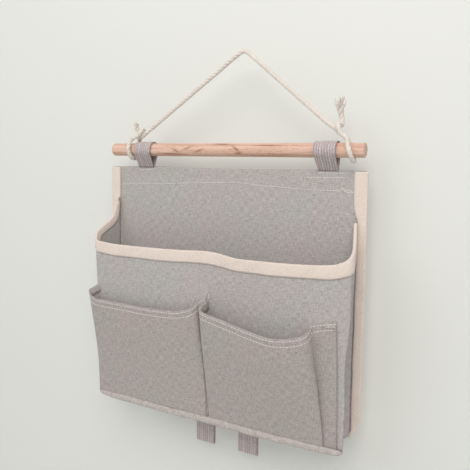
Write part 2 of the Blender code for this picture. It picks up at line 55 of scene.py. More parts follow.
yaw, pitch, roll = math.radians(27.82), math.radians(8.16), math.radians(0.47)
ahead = Vector((-math.sin(yaw) * math.cos(pitch), math.cos(yaw) * math.cos(pitch), -math.sin(pitch)))
level = Vector((math.cos(yaw), math.sin(yaw), 0))
upright = level.cross(ahead)
right = math.cos(roll) * level + math.sin(roll) * upright
up = math.cos(roll) * upright - math.sin(roll) * level
camera_place = Matrix.Translation((0.2371, -0.4649, -0.0946))
camera.matrix_world = camera_place @ Matrix((right, up, -ahead)).transposed().to_4x4()
bpy.context.scene.camera = camera

# Hanging cord. A soft cotton cord laid up from three strands, about 4.2 mm thick, bent where it is held
# up, at the origin. Each end is tied to the rod with a hitch, and its tail frays above the knot.
CORD_DIAMETER = 0.0042
CORD_LAY = 0.0135  # one full turn of a strand
STRAND_OFFSET, STRAND_RADIUS = 0.19 * CORD_DIAMETER, 0.35 * CORD_DIAMETER
CORD_ROUTE = (
    (-0.1143, 0.0013, -0.0732), (-0.1060, 0.0012, -0.0677), (-0.0980, 0.0012, -0.0625),
    (-0.0880, 0.0010, -0.0559), (-0.0780, 0.0009, -0.0493), (-0.0680, 0.0008, -0.0428),
    (-0.0580, 0.0007, -0.0362), (-0.0480, 0.0006, -0.0296), (-0.0380, 0.0005, -0.0231),
    (-0.0290, 0.0004, -0.0172), (-0.0200, 0.0002, -0.0112), (-0.0120, 0.0001, -0.0060),
    (-0.0080, 0.0001, -0.0034), (-0.0050, 0.0000, -0.0015), (-0.0026, 0.0000, -0.0004),
    (0.0000, 0.0000, 0.0000), (0.0026, 0.0000, -0.0007), (0.0048, 0.0000, -0.0022),
    (0.0080, 0.0001, -0.0048), (0.0120, 0.0002, -0.0082), (0.0200, 0.0003, -0.0149),
    (0.0290, 0.0004, -0.0224), (0.0380, 0.0005, -0.0300), (0.0470, 0.0007, -0.0375),
    (0.0560, 0.0008, -0.0451), (0.0650, 0.0009, -0.0526), (0.0740, 0.0011, -0.0602),
    (0.0810, 0.0012, -0.0659), (0.0870, 0.0013, -0.0699),
)
LEFT_KNOT_ROUTE = (
    (-0.1147, 0.0013, -0.0734), (-0.1187, 0.0016, -0.0760), (-0.1225, 0.0029, -0.0779),
    (-0.1253, 0.0062, -0.0812), (-0.1269, 0.0093, -0.0848), (-0.1277, 0.0103, -0.0891),
    (-0.1283, 0.0091, -0.0936), (-0.1287, 0.0058, -0.0969), (-0.1289, 0.0013, -0.0981),
    (-0.1289, -0.0032, -0.0969), (-0.1290, -0.0065, -0.0936), (-0.1291, -0.0077, -0.0891),
    (-0.1292, -0.0066, -0.0846), (-0.1286, -0.0049, -0.0801), (-0.1255, -0.0043, -0.0774),
    (-0.1213, -0.0040, -0.0760), (-0.1181, -0.0034, -0.0727), (-0.1169, 0.0005, -0.0687),
    (-0.1185, 0.0051, -0.0693), (-0.1217, 0.0067, -0.0715), (-0.1247, 0.0059, -0.0711),
    (-0.1262, 0.0041, -0.0681), (-0.1265, 0.0028, -0.0631),
)
RIGHT_KNOT_ROUTE = (
    (0.0874, 0.0013, -0.0702), (0.0912, 0.0015, -0.0735), (0.0946, 0.0027, -0.0762),
    (0.0972, 0.0064, -0.0803), (0.0988, 0.0094, -0.0844), (0.1003, 0.0103, -0.0891),
    (0.1018, 0.0091, -0.0936), (0.1034, 0.0058, -0.0969), (0.1044, 0.0013, -0.0981),
    (0.1046, -0.0032, -0.0969), (0.1040, -0.0065, -0.0936), (0.1028, -0.0077, -0.0891),
    (0.1014, -0.0066, -0.0846), (0.1000, -0.0050, -0.0797), (0.0972, -0.0043, -0.0768),
    (0.0938, -0.0039, -0.0745), (0.0918, -0.0033, -0.0703), (0.0910, 0.0005, -0.0668),
    (0.0932, 0.0043, -0.0676), (0.0944, 0.0069, -0.0664), (0.0926, 0.0079, -0.0633),
    (0.0898, 0.0063, -0.0597), (0.0896, 0.0043, -0.0551), (0.0912, 0.0033, -0.0501),
)


def linear(code):
    """An sRGB hex colour as a linear colour for a shader."""
    parts = [int(code[i:i + 2], 16) / 255 for i in (1, 3, 5)]
    return (*[p / 12.92 if p <= 0.04045 else ((p + 0.055) / 1.055) ** 2.4 for p in parts], 1.0)


def add(tree, kind, settings=(), links=()):
    """Adds a node, sets its properties and sockets, and feeds its sockets from other nodes' outputs."""
    made = tree.nodes.new(kind)
    for key, value in dict(settings).items():
        if isinstance(key, int) or key in made.inputs:
            made.inputs[key].default_value = value
        else:
            setattr(made, key, value)
    for key, output in dict(links).items():
        tree.links.new(output, made.inputs[key])
    return made


def new_finish(name, roughness, sheen=0.0):
    """An empty material with its shader's constant values set."""
    finish = bpy.data.materials.new(name)
    finish.use_nodes = True
    shader = finish.node_tree.nodes["Principled BSDF"]
    shader.inputs["Roughness"].default_value = roughness
    shader.inputs["Sheen Weight"].default_value = sheen
    return finish, finish.node_tree, shader


def ramp(tree, value, low, high):
    """A colour that follows a value between two (value, sRGB hex) ends."""
    tone = add(tree, "ShaderNodeValToRGB", {}, {0: value})
    for end, (position, code) in zip(tone.color_ramp.elements, (low, high)):
        end.position, end.color = position, linear(code)
    return tone.outputs[0]


def multiply(tree, colour, by, share=1.0):
    """A colour darkened by another one, as dye or shadow darkens it."""
    settings = {"data_type": "RGBA", "blend_type": "MULTIPLY", 0: share}
    return add(tree, "ShaderNodeMix", settings, {6: colour, 7: by}).outputs[2]


def dress(tree, shader, colour, height, strength, depth):
    """Gives a shader its colour and a relief so many metres deep."""
    relief = add(tree, "ShaderNodeBump", {"Strength": strength, "Distance": depth}, {"Height": height})
    tree.links.new(colour, shader.inputs["Base Color"])
    tree.links.new(relief.outputs[0], shader.inputs["Normal"])


def smooth_through(route, step):
    """Points a step apart on a smooth curve through a route."""
    p = np.array(route, float)
    p = np.vstack([2 * p[0] - p[1], p, 2 * p[-1] - p[-2]])
    t = np.linspace(0, 1, 12, endpoint=False)[:, None]
    runs = [
        b + (c - a) * t / 2 + (2 * a - 5 * b + 4 * c - d) * t**2 / 2 + (3 * b - a - 3 * c + d) * t**3 / 2
        for a, b, c, d in zip(p, p[1:], p[2:], p[3:])
    ]
    fine = np.vstack([*runs, p[-2:-1]])
    run = np.r_[0, np.cumsum(np.linalg.norm(np.diff(fine, axis=0), axis=1))]
    at = np.linspace(0, run[-1], int(run[-1] / step) + 2)
    return np.stack([np.interp(at, run, fine[:, k]) for k in range(3)], axis=1)


def unit(vectors):
    return vectors / np.maximum(np.linalg.norm(vectors, axis=-1, keepdims=True), 1e-12)


def rings(one_way, other_way, count):
    """A circle of so many points, with radius 1, for each pair of directions."""
    angle = np.linspace(0, 2 * math.pi, count + 1)[:-1, None]
    return np.cos(angle) * one_way[:, None] + np.sin(angle) * other_way[:, None]


def frame_along(line):
    """Two directions square to a line at each of its points, which turn with it and don't twist."""
    forward = unit(np.gradient(line, axis=0))
    sides = [unit(np.cross(forward[0], (0.0, 1.0, 0.2)))]
    for way in forward[1:]:
        sides.append(unit(sides[-1] - way * (sides[-1] @ way)))
    sides = np.array(sides)
    return sides, np.cross(forward, sides)


def surface(name, grids, finish, body, wrap=False, thickness=0.0):
    """One object of one or more grids of points in metres, with UVs in metres of cloth or cord."""
    points, faces, places = [], [], []
    for grid in grids:
        rows, columns = grid.shape[:2]
        base = sum(len(part) for part in points)
        points.append(grid.reshape(-1, 3))
        closed = np.concatenate([grid, grid[:, :1]], axis=1) if wrap else grid
        across = np.cumsum(np.linalg.norm(np.diff(closed, axis=1, prepend=closed[:, :1]), axis=2), axis=1)
        across = across - across.mean(axis=1, keepdims=True)
        down = np.cumsum(np.linalg.norm(np.diff(closed, axis=0, prepend=closed[:1]), axis=2), axis=0)
        for r in range(rows - 1):
            for c in range(columns if wrap else columns - 1):
                n = (c + 1) % columns
                faces.append((base + r * columns + c, base + r * columns + n,
                              base + (r + 1) * columns + n, base + (r + 1) * columns + c))
                corners = ((r, c), (r, c + 1), (r + 1, c + 1), (r + 1, c))
                places += [(across[i, j], down[i, j]) for i, j in corners]
        if wrap:
            for row, order in ((0, range(columns)), (rows - 1, range(columns - 1, -1, -1))):
                faces.append(tuple(base + row * columns + c for c in order))
                places += [(across[row, c], down[row, c]) for c in order]
    mesh = bpy.data.meshes.new(name)
    mesh.from_pydata(np.concatenate(points).tolist(), [], faces)
    mesh.uv_layers.new(name="weave").data.foreach_set("uv", np.array(places, np.float32).ravel())
    mesh.shade_smooth()
    mesh.materials.append(finish)
    piece = bpy.data.objects.new(name, mesh)
    bpy.context.scene.collection.objects.link(piece)
    if thickness:
        thicken = piece.modifiers.new("Thickness", "SOLIDIFY")
        thicken.thickness = thickness
        thicken.offset = 0
    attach(piece, body)
    return piece


# Twisted cotton gives a soft, matte off-white with faint slanting yarn lines.
COTTON_YARN_MM = 0.9  # coarser than the real 0.5 mm, so that it shows
cord_cotton, tree, shader = new_finish("twisted_cotton", 0.85, 0.2)
uv = add(tree, "ShaderNodeTexCoord").outputs["UV"]
slant = add(tree, "ShaderNodeMapping", {"Scale": (1000.0, 1000.0, 1000.0), "Rotation": (0, 0, 0.6)}, {0: uv})
yarns = add(tree, "ShaderNodeTexWave", {"Scale": 0.31 / COTTON_YARN_MM, "Distortion": 1.2, "Detail": 2.0},
            {"Vector": slant.outputs[0]})
shade = add(tree, "ShaderNodeTexNoise", {"Scale": 0.12, "Detail": 3.0}, {"Vector": slant.outputs[0]})
both = add(tree, "ShaderNodeMath", {"operation": "MULTIPLY_ADD", 1: 0.5},
           {0: yarns.outputs["Fac"], 2: shade.outputs["Fac"]})
cord_tone = ramp(tree, both.outputs[0], (0.35, "#D6CABD"), (0.85, "#ECE5DB"))
dress(tree, shader, cord_tone, yarns.outputs["Fac"], 0.35, 0.0002)

# The whole cord is one line from tail to tail. Where the CAD solids meet, their end points become one.
left_join = np.mean([LEFT_KNOT_ROUTE[0], CORD_ROUTE[0]], axis=0)
right_join = np.mean([CORD_ROUTE[-1], RIGHT_KNOT_ROUTE[0]], axis=0)
whole_route = [*reversed(LEFT_KNOT_ROUTE[1:]), left_join, *CORD_ROUTE[1:-1], right_join,
               *RIGHT_KNOT_ROUTE[1:]]
cord_line = smooth_through(whole_route, 0.0007)
right_tail = cord_line[-34:]  # its bends are eased, as soft cord eases them
for _ in range(150):
    right_tail[1:-1] = 0.5 * right_tail[1:-1] + 0.25 * (right_tail[:-2] + right_tail[2:])
cord_run = np.r_[0, np.cumsum(np.linalg.norm(np.diff(cord_line, axis=0), axis=1))]
cord_side, cord_other = frame_along(cord_line)
from_left, from_right = cord_run, cord_run[-1] - cord_run
# The strands part over the last stretch of each tail, the right one much further.
parting = 0.0005 * np.clip(1 - from_left / 0.006, 0, 1) ** 1.5
parting = parting + 0.0016 * np.clip(1 - from_right / 0.011, 0, 1) ** 1.3
untwist = np.clip(from_right / 0.008, 0.3, 1)
turn = 2 * math.pi * np.cumsum(np.gradient(cord_run) * untwist) / CORD_LAY


def strand(number, first, last):
    """One of the cord's three strands as a grid of rings, between two points of the line."""
    place = turn[first:last] + number * 2 * math.pi / 3
    way = np.cos(place)[:, None] * cord_side[first:last] + np.sin(place)[:, None] * cord_other[first:last]
    apart = parting[first:last, None]
    centre = cord_line[first:last] + way * (STRAND_OFFSET + apart)
    around = rings(cord_side[first:last], cord_other[first:last], 10)
    return centre[:, None] + around * (STRAND_RADIUS + 0.2 * apart[:, None])


left_end = int(np.argmin(np.linalg.norm(cord_line - left_join, axis=1)))
right_end = int(np.argmin(np.linalg.norm(cord_line - right_join, axis=1)))
for name, node, first, last in (
    ("left_hitch", "left_knot", 0, left_end + 1),
    ("cord_between_knots", "hanging_cord", left_end, right_end + 1),
    ("right_hitch", "right_knot", right_end, len(cord_line)),
):
    piece = surface(name, [strand(k, first, last) for k in range(3)], cord_cotton, "cord", wrap=True)
    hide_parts(node)

# Yarn ends stick out of both cut tails.
chance = np.random.default_rng(4)
ends = []
for tip, behind, count, wide, reach in ((0, 6, 12, 0.0013, 0.0014), (-1, -7, 40, 0.0021, 0.0030)):
    way = unit(cord_line[tip] - cord_line[behind])
    for _ in range(count):
        out = chance.normal(size=3) * wide * 0.6
        start = cord_line[tip] + out - way * 0.0018
        stop = start + way * (0.0018 + reach * chance.uniform(0.4, 1)) + out * 0.7
        stop = stop + chance.normal(size=3) * 0.0005
        bow = (start + stop) / 2 + chance.normal(size=3) * 0.0004
        yarn = smooth_through((start, bow, stop), 0.0005)
        ends.append(yarn[:, None] + rings(*frame_along(yarn), 6) * 0.00034)
tail_yarns = surface("tail_yarns", ends, cord_cotton, "cord", wrap=True)

# Rod. A 13 mm beech dowel, sawn to length, its ends eased by hand and left bare. The grain runs along
# it, with a few brown streaks and one small V where a twig grew.
ROD_MIDDLE = np.array((-0.0195, 0.0013, -0.0891))
ROD_LENGTH, ROD_RADIUS = 0.2685, 0.0065
EASED, UNEVEN = 0.0012, 0.00006  # the ends' rounding, and how far the rod is from truly round
end_steps = [s * (ROD_LENGTH / 2 - d) for s in (-1, 1) for d in (0.0001, 0.0003, 0.0007, EASED)]
along_rod = np.unique(np.concatenate([np.linspace(-0.5, 0.5, 150) * ROD_LENGTH, end_steps]))
to_end = ROD_LENGTH / 2 - np.abs(along_rod)
ease = EASED * (1 - np.sqrt(np.clip(1 - (1 - np.clip(to_end / EASED, 0, 1)) ** 2, 0, 1)))
round_rod = np.linspace(0, 2 * math.pi, 49)[:-1]
uneven = UNEVEN * np.sin(3 * round_rod[None] + 40 * along_rod[:, None]) * np.sin(55 * along_rod[:, None])
radius = ROD_RADIUS - UNEVEN - ease[:, None] + uneven
rod_grid = np.stack([np.broadcast_to(along_rod[:, None], radius.shape),
                     radius * np.cos(round_rod), radius * np.sin(round_rod)], axis=2)
cut_rings = []
for share in (0.92, 0.6, 0.25, 0.02):
    ring = rod_grid[0] * (1, share, share)
    cut_rings.append(ring - (0.00012 * (1 - share), 0, 0))
cut_rings = np.array(cut_rings)
rod_grid = np.concatenate([cut_rings[::-1], rod_grid, cut_rings * (-1, 1, 1)]) + ROD_MIDDLE

# Bare beech gives a satin surface of pinkish tan, with short dark flecks and slow, drawn-out grain.
beech, tree, shader = new_finish("bare_beech", 0.5)
spot = add(tree, "ShaderNodeTexCoord").outputs["Object"]
grain_place = add(tree, "ShaderNodeMapping", {"Scale": (14.0, 420.0, 420.0)}, {0: spot})
grain_look = {"Scale": 1.0, "Detail": 5.0, "Roughness": 0.6, "Distortion": 0.9}
grain = add(tree, "ShaderNodeTexNoise", grain_look, {"Vector": grain_place.outputs[0]})
fleck_place = add(tree, "ShaderNodeMapping", {"Scale": (230.0, 1500.0, 1500.0)}, {0: spot})
flecks = add(tree, "ShaderNodeTexNoise", {"Scale": 1.0, "Detail": 2.0}, {"Vector": fleck_place.outputs[0]})
wood_tone = ramp(tree, grain.outputs["Fac"], (0.32, "#CCA089"), (0.66, "#E9C9B6"))
fleck_tone = ramp(tree, flecks.outputs["Fac"], (0.30, "#C9A48E"), (0.42, "#FFFFFF"))
wood = multiply(tree, wood_tone, fleck_tone, 0.6)
mark = add(tree, "ShaderNodeAttribute", {"attribute_name": "growth_mark"})
marked = add(tree, "ShaderNodeMix", {"data_type": "RGBA", "blend_type": "MIX", 7: linear("#84512F")},
             {0: mark.outputs["Fac"], 6: wood})
dress(tree, shader, marked.outputs[2], flecks.outputs["Fac"], 0.15, 0.0002)
dowel = surface("beech_dowel", [rod_grid], beech, "rod", wrap=True)
# The marks lie on the front, each from one (place along the rod, height on it) to another, and then so
# wide, all in mm.
marks = (((-46, -0.5), (-33, 3.6), 0.8), ((-58, 1.5), (-49, -2.6), 0.75), ((-14, 5.5), (10, 5.0), 0.6),
         ((10, 3.8), (18, -2.2), 1.0), ((12, -3.4), (21, -2.6), 0.9), ((-75, -3.6), (-40, -4.4), 0.5),
         ((-33, -3.2), (-20, 1.2), 0.7), ((30, 4.2), (64, 3.6), 0.45))
spots = np.array([v.co for v in dowel.data.vertices]) - ROD_MIDDLE
seen = np.stack([spots[:, 0], spots[:, 2]], axis=1) * 1000
shade = np.zeros(len(seen))
for start, end, wide in marks:
    start, end = np.array(start, float), np.array(end, float)
    share = np.clip((seen - start) @ (end - start) / ((end - start) @ (end - start)), 0, 1)
    away = np.linalg.norm(seen - start - share[:, None] * (end - start), axis=1)
    fade = np.sin(math.pi * np.clip(share, 0.1, 0.9))
    shade = np.maximum(shade, 0.95 * np.exp(-(away / wide) ** 2) * fade)
shade *= spots[:, 1] < 0
growth_mark = dowel.data.attributes.new("growth_mark", "FLOAT", "POINT")
growth_mark.data.foreach_set("value", shade.astype(np.float32))
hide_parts("dowel")

# Back panel. Linen and cotton canvas, cut 282 mm wide. Its top edge is turned over to the back and
# sewn down with one row of light thread, with the strap loops' ends inside the hem.
BAG = np.array((-0.0232, 0.0013, -0.0891))  # the rod's axis at the bag's middle; bag sizes are mm from it
PANEL_TOP, PANEL_HEIGHT, PANEL_Y = 18, 242, 5.4
CLOTH = 0.0009
SEAM_PITCH = 3.1


def world(grid):
    return np.asarray(grid, float) / 1000 + BAG


def mix(low, high, share):
    return low + (high - low) * share


def corner_cut(drop):
    """How much the round of a lower corner takes off the panel's half width at a drop below the rod."""
    return 15.0 * (1 - np.sqrt(1 - np.clip((drop - 238) / 24, 0, 0.97) ** 2))


def panel_side(drop):
    """Half the panel's width at a drop, as if its corners were square."""
    straight = mix(276.5, 282.5, (drop - PANEL_TOP) / PANEL_HEIGHT) / 2
    return straight - 1.0 * np.clip((drop - 110) / 100, 0, 1)


def panel_half(drop):
    return panel_side(drop) - corner_cut(drop)


# Canvas gives a matte, faintly crossed grey, because its warp and weft yarns swell and thin out. A few
# dark husks are spun in. Yarns are 0.6 mm apart, and drawn 0.85 mm wide here so that they show.
CANVAS_YARN_MM = 0.85


def cloth_mm(tree):
    """The place on a flat cloth, in mm."""
    uv = add(tree, "ShaderNodeTexCoord").outputs["UV"]
    return add(tree, "ShaderNodeMapping", {"Scale": (1000.0, 1000.0, 1.0)}, {0: uv}).outputs[0]


def canvas(name, low, high, rib_mm=0.0):
    """Plain canvas between two tones, or a strap of it with ribs so far apart along it, with painted shade
    between the ribs.
    """
    finish, tree, shader = new_finish(name, 0.92, 0.12)
    mm = cloth_mm(tree)
    warp_place = add(tree, "ShaderNodeMapping", {"Scale": (1 / CANVAS_YARN_MM, 0.2, 1.0)}, {0: mm})
    weft_look = {"Scale": (0.19, 1 / CANVAS_YARN_MM, 1.0), "Location": (7, 3, 0)}
    weft_place = add(tree, "ShaderNodeMapping", weft_look, {0: mm})
    warp = add(tree, "ShaderNodeTexNoise", {"Scale": 1.0, "Detail": 1.0}, {"Vector": warp_place.outputs[0]})
    weft = add(tree, "ShaderNodeTexNoise", {"Scale": 1.0, "Detail": 1.0}, {"Vector": weft_place.outputs[0]})
    yarns = add(tree, "ShaderNodeMath", {"operation": "ADD"},
                {0: warp.outputs["Fac"], 1: weft.outputs["Fac"]})
    halved = add(tree, "ShaderNodeMath", {"operation": "MULTIPLY", 1: 0.5}, {0: yarns.outputs[0]})
    tone = ramp(tree, halved.outputs[0], (0.36, low), (0.64, high))
    drift = add(tree, "ShaderNodeTexNoise", {"Scale": 0.014, "Detail": 2.0}, {"Vector": mm})
    spread = add(tree, "ShaderNodeMapRange", {1: 0.35, 2: 0.65}, {0: drift.outputs["Fac"]})
    two_dyes = {"data_type": "RGBA", "blend_type": "MIX", 6: linear("#FFF8F7"), 7: linear("#F8FBF6")}
    tint = add(tree, "ShaderNodeMix", two_dyes, {0: spread.outputs[0]})
    cells = add(tree, "ShaderNodeTexVoronoi", {"Scale": 0.055}, {"Vector": mm})
    husk = ramp(tree, cells.outputs["Distance"], (0.025, "#9A908C"), (0.04, "#FFFFFF"))
    colour = multiply(tree, multiply(tree, tone, tint.outputs[2]), husk)
    height = yarns.outputs[0]
    if rib_mm:
        rib_look = {"Scale": 0.31 / rib_mm, "Distortion": 0.8, "Detail": 1.0}
        ridge = add(tree, "ShaderNodeTexWave", rib_look, {"Vector": mm}).outputs["Fac"]
        # The grooves between the ribs are darkened with painted shade.
        colour = multiply(tree, colour, ramp(tree, ridge, (0.1, "#DDD6D6"), (0.6, "#FFFFFF")))
        rise = add(tree, "ShaderNodeMath", {"operation": "MULTIPLY_ADD", 1: 2.0}, {0: ridge, 2: height})
        height = rise.outputs[0]
    dress(tree, shader, colour, height, 0.4, 0.0002)
    return finish


linen_canvas = canvas("linen_cotton_canvas", "#A5A19F", "#C5C1BF")


def sewing_thread(name, low, high, roughness, sheen=0.0):
    """Smooth cotton thread, slightly shiny, and uneven in tone from stitch to stitch."""
    finish, tree, shader = new_finish(name, roughness, sheen)
    spot = add(tree, "ShaderNodeTexCoord").outputs["Object"]
    worn = add(tree, "ShaderNodeTexNoise", {"Scale": 300.0}, {"Vector": spot})
    tree.links.new(ramp(tree, worn.outputs["Fac"], (0.0, low), (1.0, high)), shader.inputs["Base Color"])
    return finish


thread = sewing_thread("cotton_sewing_thread", "#D6CDC8", "#EAE2DD", 0.6, 0.1)  # paler than the cloth


def seam(name, lines, finish, body, pitch=SEAM_PITCH, thick=0.36, sunk=0.1):
    """Rows of stitches as one object. Each line is (points in mm, outward directions) along a seam."""
    grids = []
    swell = np.array((0.4, 0.8, 0.95, 1.0, 0.95, 0.8, 0.4))[:, None, None] * thick
    for points, outward in lines:
        points, outward = np.asarray(points, float), unit(np.asarray(outward, float))
        run = np.r_[0, np.cumsum(np.linalg.norm(np.diff(points, axis=0), axis=1))]
        for k in range(int(run[-1] / pitch)):
            at = (k + np.linspace(0.02, 0.98, 7)) * pitch
            middle = np.stack([np.interp(at, run, points[:, i]) for i in range(3)], axis=1)
            out = unit(np.stack([np.interp(at, run, outward[:, i]) for i in range(3)], axis=1))
            side = unit(np.cross(np.gradient(middle, axis=0), out))
            lift = thick * np.array((-0.4, 0.1, 0.3, 0.35, 0.3, 0.1, -0.4))[:, None] - sunk
            grids.append(world((middle + out * lift)[:, None] + rings(side, out, 6) * swell))
    return surface(name, grids, finish, body, wrap=True)


def facing_front(line):
    """A line for a seam, with its stitches on the front."""
    return line, np.tile((0.0, -1.0, 0.0), (len(line), 1))


across = np.linspace(-1, 1, 121)
hem_drops = np.linspace(37.5, 19.2, 8)
front_drops = np.r_[19.2, np.linspace(21, 260, 118)]
panel_rows = [(drop, 1.15) for drop in hem_drops]
panel_rows += [(18.4, 1.0), (18.0, 0.55), (18.3, 0.1)]
panel_rows += [(drop, 0.0) for drop in front_drops]
panel_grid = []
for drop, behind in panel_rows:
    half = panel_half(drop)
    x = across * (half - 0.2)
    top_dip = 0.5 * np.sin(x / 31 + 1.1) * math.exp(-(drop - PANEL_TOP) / 25)
    ripple = 0.35 * np.sin(x / 27 + drop / 60) * math.sin(math.pi * (drop - PANEL_TOP) / PANEL_HEIGHT)
    pucker = 0.16 * np.sin(x / 7.5) * math.exp(-((drop - 34) / 6) ** 2)
    panel_grid.append(np.stack([x, PANEL_Y + behind + (ripple + pucker), -(drop + top_dip)], axis=1))
back_panel = surface("back_panel_canvas", [world(panel_grid)], linen_canvas, "bag", thickness=CLOTH)
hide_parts("back_panel")
hem_points = ((-130.1, -36.9), (-100, -35.4), (-70, -34.4), (6, -31.1),
              (46.6, -33.5), (102.4, -35.4), (119.7, -34.4), (133.3, -36.8))
hem_line = smooth_through([(x, 4.9, z) for x, z in hem_points], 1.0)
panel_seams = [facing_front(hem_line)]
# A back-tack at the hem's right end, and the rows that hold the two strap loops.
for points in (((116.5, 4.9, -32.4), (119.5, 4.8, -35.3), (123, 4.8, -36.3), (134, 4.8, -36.2)),
               ((-103, 4.9, -20.6), (-96, 4.9, -20.9), (-88, 4.9, -20.0), (-80, 4.9, -19.6)),
               ((85.5, 4.9, -19.6), (85.2, 4.9, -24.2), (90, 4.9, -24.4), (121, 4.9, -23.6)),
               ((95, 4.9, -19.9), (108, 4.9, -20.0), (121.5, 4.9, -20.2))):
    panel_seams.append(facing_front(smooth_through(points, 1.0)))
panel_seams.append((hem_line + (0, 2.35, 0), -facing_front(hem_line)[1]))
panel_stitches = seam("back_panel_stitching", panel_seams, thread, "bag")

# Edge bindings. Cream cotton tape, folded over each side of the back panel and sewn through. It takes
# the pocket's side seam as well, and its lower corners are eased round.
TAPE = 0.0007
TAPE_LEG = 10.4
SEAM_TAKES = {-1: 1.3, 1: 3.3}  # the pocket's seam hides this much of the left and of the right front leg


def tape_finish(name, low, high):
    """Plain-woven cotton tape: matte, with fine ribs across and yarns 0.5 mm apart, drawn at 1 mm."""
    finish, tree, shader = new_finish(name, 0.9, 0.15)
    mm = cloth_mm(tree)
    rib_look = {"Scale": 0.31, "Distortion": 0.6, "Detail": 1.0, "bands_direction": "Y"}
    ribs = add(tree, "ShaderNodeTexWave", rib_look, {"Vector": mm})
    ends_place = add(tree, "ShaderNodeMapping", {"Scale": (1.0, 0.45, 1.0)}, {0: mm})
    warp_ends = add(tree, "ShaderNodeTexNoise", {"Scale": 1.0, "Detail": 1.0},
                    {"Vector": ends_place.outputs[0]})
    worn = add(tree, "ShaderNodeTexNoise", {"Scale": 0.08, "Detail": 3.0}, {"Vector": mm})
    woven = add(tree, "ShaderNodeMath", {"operation": "MULTIPLY_ADD", 1: 0.3},
                {0: ribs.outputs["Fac"], 2: warp_ends.outputs["Fac"]})
    mixed = add(tree, "ShaderNodeMath", {"operation": "MULTIPLY_ADD", 1: 0.5},
                {0: worn.outputs["Fac"], 2: woven.outputs[0]})
    tone = ramp(tree, mixed.outputs[0], (0.62, low), (1.0, high))
    dress(tree, shader, tone, woven.outputs[0], 0.3, 0.00015)
    return finish


cotton_tape = tape_finish("plain_woven_cotton_tape", "#D8C9BE", "#E8DACF")


def folded_tape(cloth, legs, back_legs, gap=1.2):
    """A grid for a tape folded over a cloth's edge, in mm: front leg, fold, back leg. cloth(station,
    distance) gives the point that far in from the edge and the cloth's outward direction there."""
    fold = np.linspace(0, math.pi, 9)
    share = np.linspace(1, 0.04, 7)
    pillow = gap - 0.28 * share**6 + 0.15 * np.sin(math.pi * share)
    grid = []
    for station, (leg, back_leg) in enumerate(zip(legs, back_legs)):
        profile = [(leg * a, b) for a, b in zip(share, pillow)]
        profile += [(-gap * math.sin(f), gap * math.cos(f)) for f in fold]
        profile += [(back_leg * a, -b) for a, b in zip(share[::-1], pillow[::-1])]
        row = []
        for a, b in profile:
            point, out = cloth(station, a)
            row.append(point + out * b)
        grid.append(row)
    return np.array(grid)


def tape_seam(cloth, legs, side=1):
    """The stitch row near a tape's free edge, on its front (side 1) or its back (side -1)."""
    found = [cloth(station, leg - 1.7) for station, leg in enumerate(legs)]
    out = np.array([way for _, way in found]) * side
    return np.array([point for point, _ in found]) + out * 1.42, out


def ease_width(legs):
    """Legs as a hand-fed tape has them, a little wider and narrower along its run."""
    place = np.arange(len(legs))
    return legs + 0.2 * np.sin(place / 5.0) + 0.1 * np.sin(place / 2.1 + 1)


side_drops = np.linspace(18.1, 259.8, 150)
for name, node, side in (("left_edge_tape", "left_edge_binding", -1),
                         ("right_edge_tape", "right_edge_binding", 1)):
    edge = np.stack([side * panel_half(side_drops), np.full(len(side_drops), PANEL_Y), -side_drops], axis=1)
    inward = np.cross(unit(np.gradient(edge, axis=0)), (0.0, -side, 0.0))

    def along_side(station, distance):
        return edge[station] + inward[station] * distance, np.array((0.0, -1.0, 0.0))

    back_legs = ease_width(np.full(len(side_drops), TAPE_LEG))
    legs = back_legs - SEAM_TAKES[side] * np.clip((side_drops - 50) / 12, 0, 1)
    legs = np.maximum(legs - corner_cut(side_drops), 2.2)  # tapered at the round corner
    tape_grid = world(folded_tape(along_side, legs, back_legs))
    tape = surface(name, [tape_grid], cotton_tape, "bag", thickness=TAPE)
    rows = [tape_seam(along_side, legs), tape_seam(along_side, back_legs, -1)]
    stitches = seam(name + "_stitching", rows, thread, "bag", thick=0.26)
    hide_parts(node)

# Strap loops over the rod. Each is a narrow canvas strap with two rows of thread along it, laid over
# the rod and sewn by both ends into the panel's hem. The left one slants a little outwards.
strap_canvas = canvas("ribbed_canvas_strap", "#B2AAAA", "#D2CACB", rib_mm=2.4)
STRAP = 0.0011
RIB_APART = 4.6


def ribbed_strap(name, body, x, path, normal, rib):
    """A strap along a path of (y, z) points, ribbed lengthways, with a row of thread near each edge."""
    grid = np.stack([x, path[:, :1] + normal[:, :1] * rib, path[:, 1:] + normal[:, 1:] * rib], axis=2)
    strap = surface(name, [world(grid)], strap_canvas, body, thickness=STRAP)
    normals = np.stack([np.zeros(len(path)), normal[:, 0], normal[:, 1]], axis=1)
    rows = [(grid[:, column] + normals * 0.55, normals) for column in (7, 17)]
    return strap, seam(name + "_stitching", rows, thread, body, thick=0.3)


def across_path(path):
    """Directions square to a path of (y, z) points."""
    return unit(np.stack([-np.gradient(path[:, 1]), np.gradient(path[:, 0])], axis=1))


